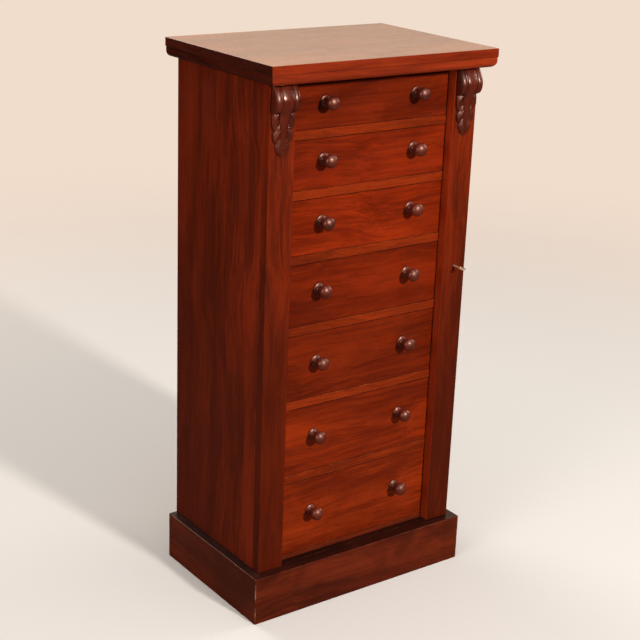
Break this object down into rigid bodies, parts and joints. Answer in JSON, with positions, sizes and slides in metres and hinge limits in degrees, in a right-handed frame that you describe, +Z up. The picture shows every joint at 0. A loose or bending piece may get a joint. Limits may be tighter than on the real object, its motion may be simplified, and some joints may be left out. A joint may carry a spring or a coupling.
{
  "type": "wellington chest",
  "caption": "Tall narrow mahogany chest of drawers on a plinth, with turned knobs, carved corbels and a hinged locking flap with its key down one side.",
  "frame": {"origin": "on the floor under the middle of the top board's outline", "axes": "+Z up, -Y out of the drawer fronts, +X towards the locking flap"},
  "size_m": [0.602, 0.422, 1.269],
  "materials": {
    "top_wood": "polished mahogany, grain lengthwise",
    "moulding_wood": "polished mahogany",
    "plinth_wood": "polished mahogany, worn at the arrises",
    "side_wood": "polished mahogany, upright grain",
    "post_wood": "polished mahogany, upright grain",
    "rail_wood": "polished mahogany",
    "drawer_wood": "polished mahogany veneer, level grain",
    "carved_wood": "carved and polished mahogany",
    "turned_wood": "turned and polished dark mahogany",
    "lining_wood": "bare oak, planed",
    "inside_wood": "bare pine, planed",
    "hinge_brass": "dull brass",
    "lock_brass": "dull brass",
    "key_brass": "worn brass"
  },
  "bodies": {
    "carcase": {"top_board": "top_wood", "top_mouldings": "moulding_wood", "plinth_front": "plinth_wood", "plinth_sides": "plinth_wood", "plinth_back": "inside_wood", "plinth_blocks": "inside_wood", "side_left": "side_wood", "side_right": "side_wood", "bottom_board": "rail_wood", "carcase_top": "rail_wood", "drawer_rails": "rail_wood", "drawer_runners": "inside_wood", "drawer_stops": "inside_wood", "front_stiles": "rail_wood", "back_boards": "inside_wood", "pilaster_left": "post_wood", "corbel_left": "carved_wood", "hinge_leaves_fixed": "hinge_brass", "lock_staple": "lock_brass"},
    "flap": {"flap_board": "post_wood", "corbel_right": "carved_wood", "hinge_leaves_moving": "hinge_brass", "lock_case": "lock_brass"},
    "key": {"key": "key_brass"},
    "lock_bolt": {"lock_bolt": "lock_brass"},
    "drawer_1": {"drawer_1_front": "drawer_wood", "drawer_1_sides": "lining_wood", "drawer_1_back": "lining_wood", "drawer_1_bottom": "lining_wood", "drawer_1_knobs": "turned_wood"},
    "drawer_2": {"drawer_2_front": "drawer_wood", "drawer_2_sides": "lining_wood", "drawer_2_back": "lining_wood", "drawer_2_bottom": "lining_wood", "drawer_2_knobs": "turned_wood"},
    "drawer_3": {"drawer_3_front": "drawer_wood", "drawer_3_sides": "lining_wood", "drawer_3_back": "lining_wood", "drawer_3_bottom": "lining_wood", "drawer_3_knobs": "turned_wood"},
    "drawer_4": {"drawer_4_front": "drawer_wood", "drawer_4_sides": "lining_wood", "drawer_4_back": "lining_wood", "drawer_4_bottom": "lining_wood", "drawer_4_knobs": "turned_wood"},
    "drawer_5": {"drawer_5_front": "drawer_wood", "drawer_5_sides": "lining_wood", "drawer_5_back": "lining_wood", "drawer_5_bottom": "lining_wood", "drawer_5_knobs": "turned_wood"},
    "drawer_6": {"drawer_6_front": "drawer_wood", "drawer_6_sides": "lining_wood", "drawer_6_back": "lining_wood", "drawer_6_bottom": "lining_wood", "drawer_6_knobs": "turned_wood"},
    "drawer_7": {"drawer_7_front": "drawer_wood", "drawer_7_sides": "lining_wood", "drawer_7_back": "lining_wood", "drawer_7_bottom": "lining_wood", "drawer_7_knobs": "turned_wood"}
  },
  "joints": [
    {"name": "drawer_1_slide", "type": "slide", "parent": "carcase", "child": "drawer_1", "axis": [0, -1, 0], "range_m": [0, 0.26]},
    {"name": "drawer_2_slide", "type": "slide", "parent": "carcase", "child": "drawer_2", "axis": [0, -1, 0], "range_m": [0, 0.26]},
    {"name": "drawer_3_slide", "type": "slide", "parent": "carcase", "child": "drawer_3", "axis": [0, -1, 0], "range_m": [0, 0.26]},
    {"name": "drawer_4_slide", "type": "slide", "parent": "carcase", "child": "drawer_4", "axis": [0, -1, 0], "range_m": [0, 0.26]},
    {"name": "drawer_5_slide", "type": "slide", "parent": "carcase", "child": "drawer_5", "axis": [0, -1, 0], "range_m": [0, 0.26]},
    {"name": "drawer_6_slide", "type": "slide", "parent": "carcase", "child": "drawer_6", "axis": [0, -1, 0], "range_m": [0, 0.26]},
    {"name": "drawer_7_slide", "type": "slide", "parent": "carcase", "child": "drawer_7", "axis": [0, -1, 0], "range_m": [0, 0.26]},
    {"name": "flap_swing", "type": "hinge", "parent": "carcase", "child": "flap", "pos_m": [0.2825, -0.1485, 0.67], "axis": [0, 0, 1], "range_deg": [0, 170]},
    {"name": "key_turn", "type": "hinge", "parent": "flap", "child": "key", "pos_m": [0.24675, -0.18, 0.7655], "axis": [0, -1, 0], "range_deg": [0, 180]},
    {"name": "bolt_slide", "type": "slide", "parent": "flap", "child": "lock_bolt", "axis": [-1, 0, 0], "range_m": [0, 0.008]}
  ],
  "couplings": [
    {"joint": "bolt_slide", "follows": "key_turn", "m_per_rad": 0.0025464}
  ]
}
